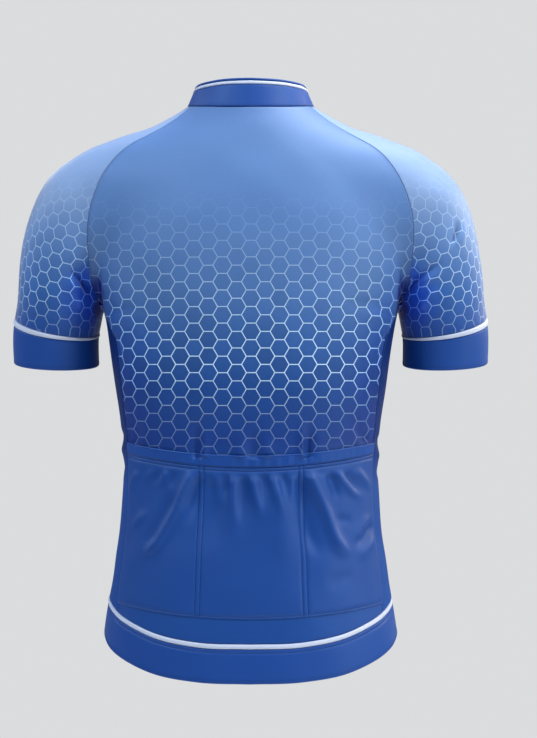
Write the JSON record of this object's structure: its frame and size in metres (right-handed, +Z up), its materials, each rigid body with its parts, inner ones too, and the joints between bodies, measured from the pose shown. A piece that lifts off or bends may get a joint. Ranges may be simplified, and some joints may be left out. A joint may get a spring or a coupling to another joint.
{
  "type": "cycling jersey",
  "caption": "Short-sleeved raglan cycling jersey in its worn, hollow form, with stand collar, back pockets and full front zip.",
  "frame": {"origin": "middle of the neck opening, at the height of the side neck points, where the wearer's shoulders carry the jersey", "axes": "+Z up, -Y to the jersey's back, +Y to its front with the zip, +X to the wearer's right; X = 0 is the plane of symmetry"},
  "size_m": [0.574, 0.2437, 0.7051],
  "materials": {
    "printed_knit": "fine polyester knit, light to deep blue fade with a fine honeycomb, satin",
    "deep_knit": "fine polyester knit, deep blue, satin",
    "white_piping": "folded knit piping, white",
    "zip_tape": "woven polyester tape with a moulded coil",
    "zip_metal": "nickel-plated zinc, satin"
  },
  "bodies": {
    "jersey": {"back_panel": "printed_knit", "front_left": "printed_knit", "front_right": "printed_knit", "side_left": "deep_knit", "side_right": "deep_knit", "sleeve_left": "printed_knit", "sleeve_right": "printed_knit", "cuff_piping_left": "white_piping", "cuff_piping_right": "white_piping", "cuff_left": "deep_knit", "cuff_right": "deep_knit", "collar": "deep_knit", "collar_piping": "white_piping", "collar_binding": "deep_knit", "pocket_panel": "deep_knit", "pocket_band": "deep_knit", "hem_piping": "white_piping", "hem_band": "deep_knit", "zip_left": "zip_tape", "zip_right": "zip_tape", "zip_slider": "zip_metal"},
    "pull_tab": {"zip_pull": "zip_metal"}
  },
  "joints": [
    {"name": "pull_tab_swing", "type": "hinge", "parent": "jersey", "child": "pull_tab", "pos_m": [0, 0.06678, -0.01893], "axis": [1, 0, 0], "range_deg": [0, 170]}
  ]
}
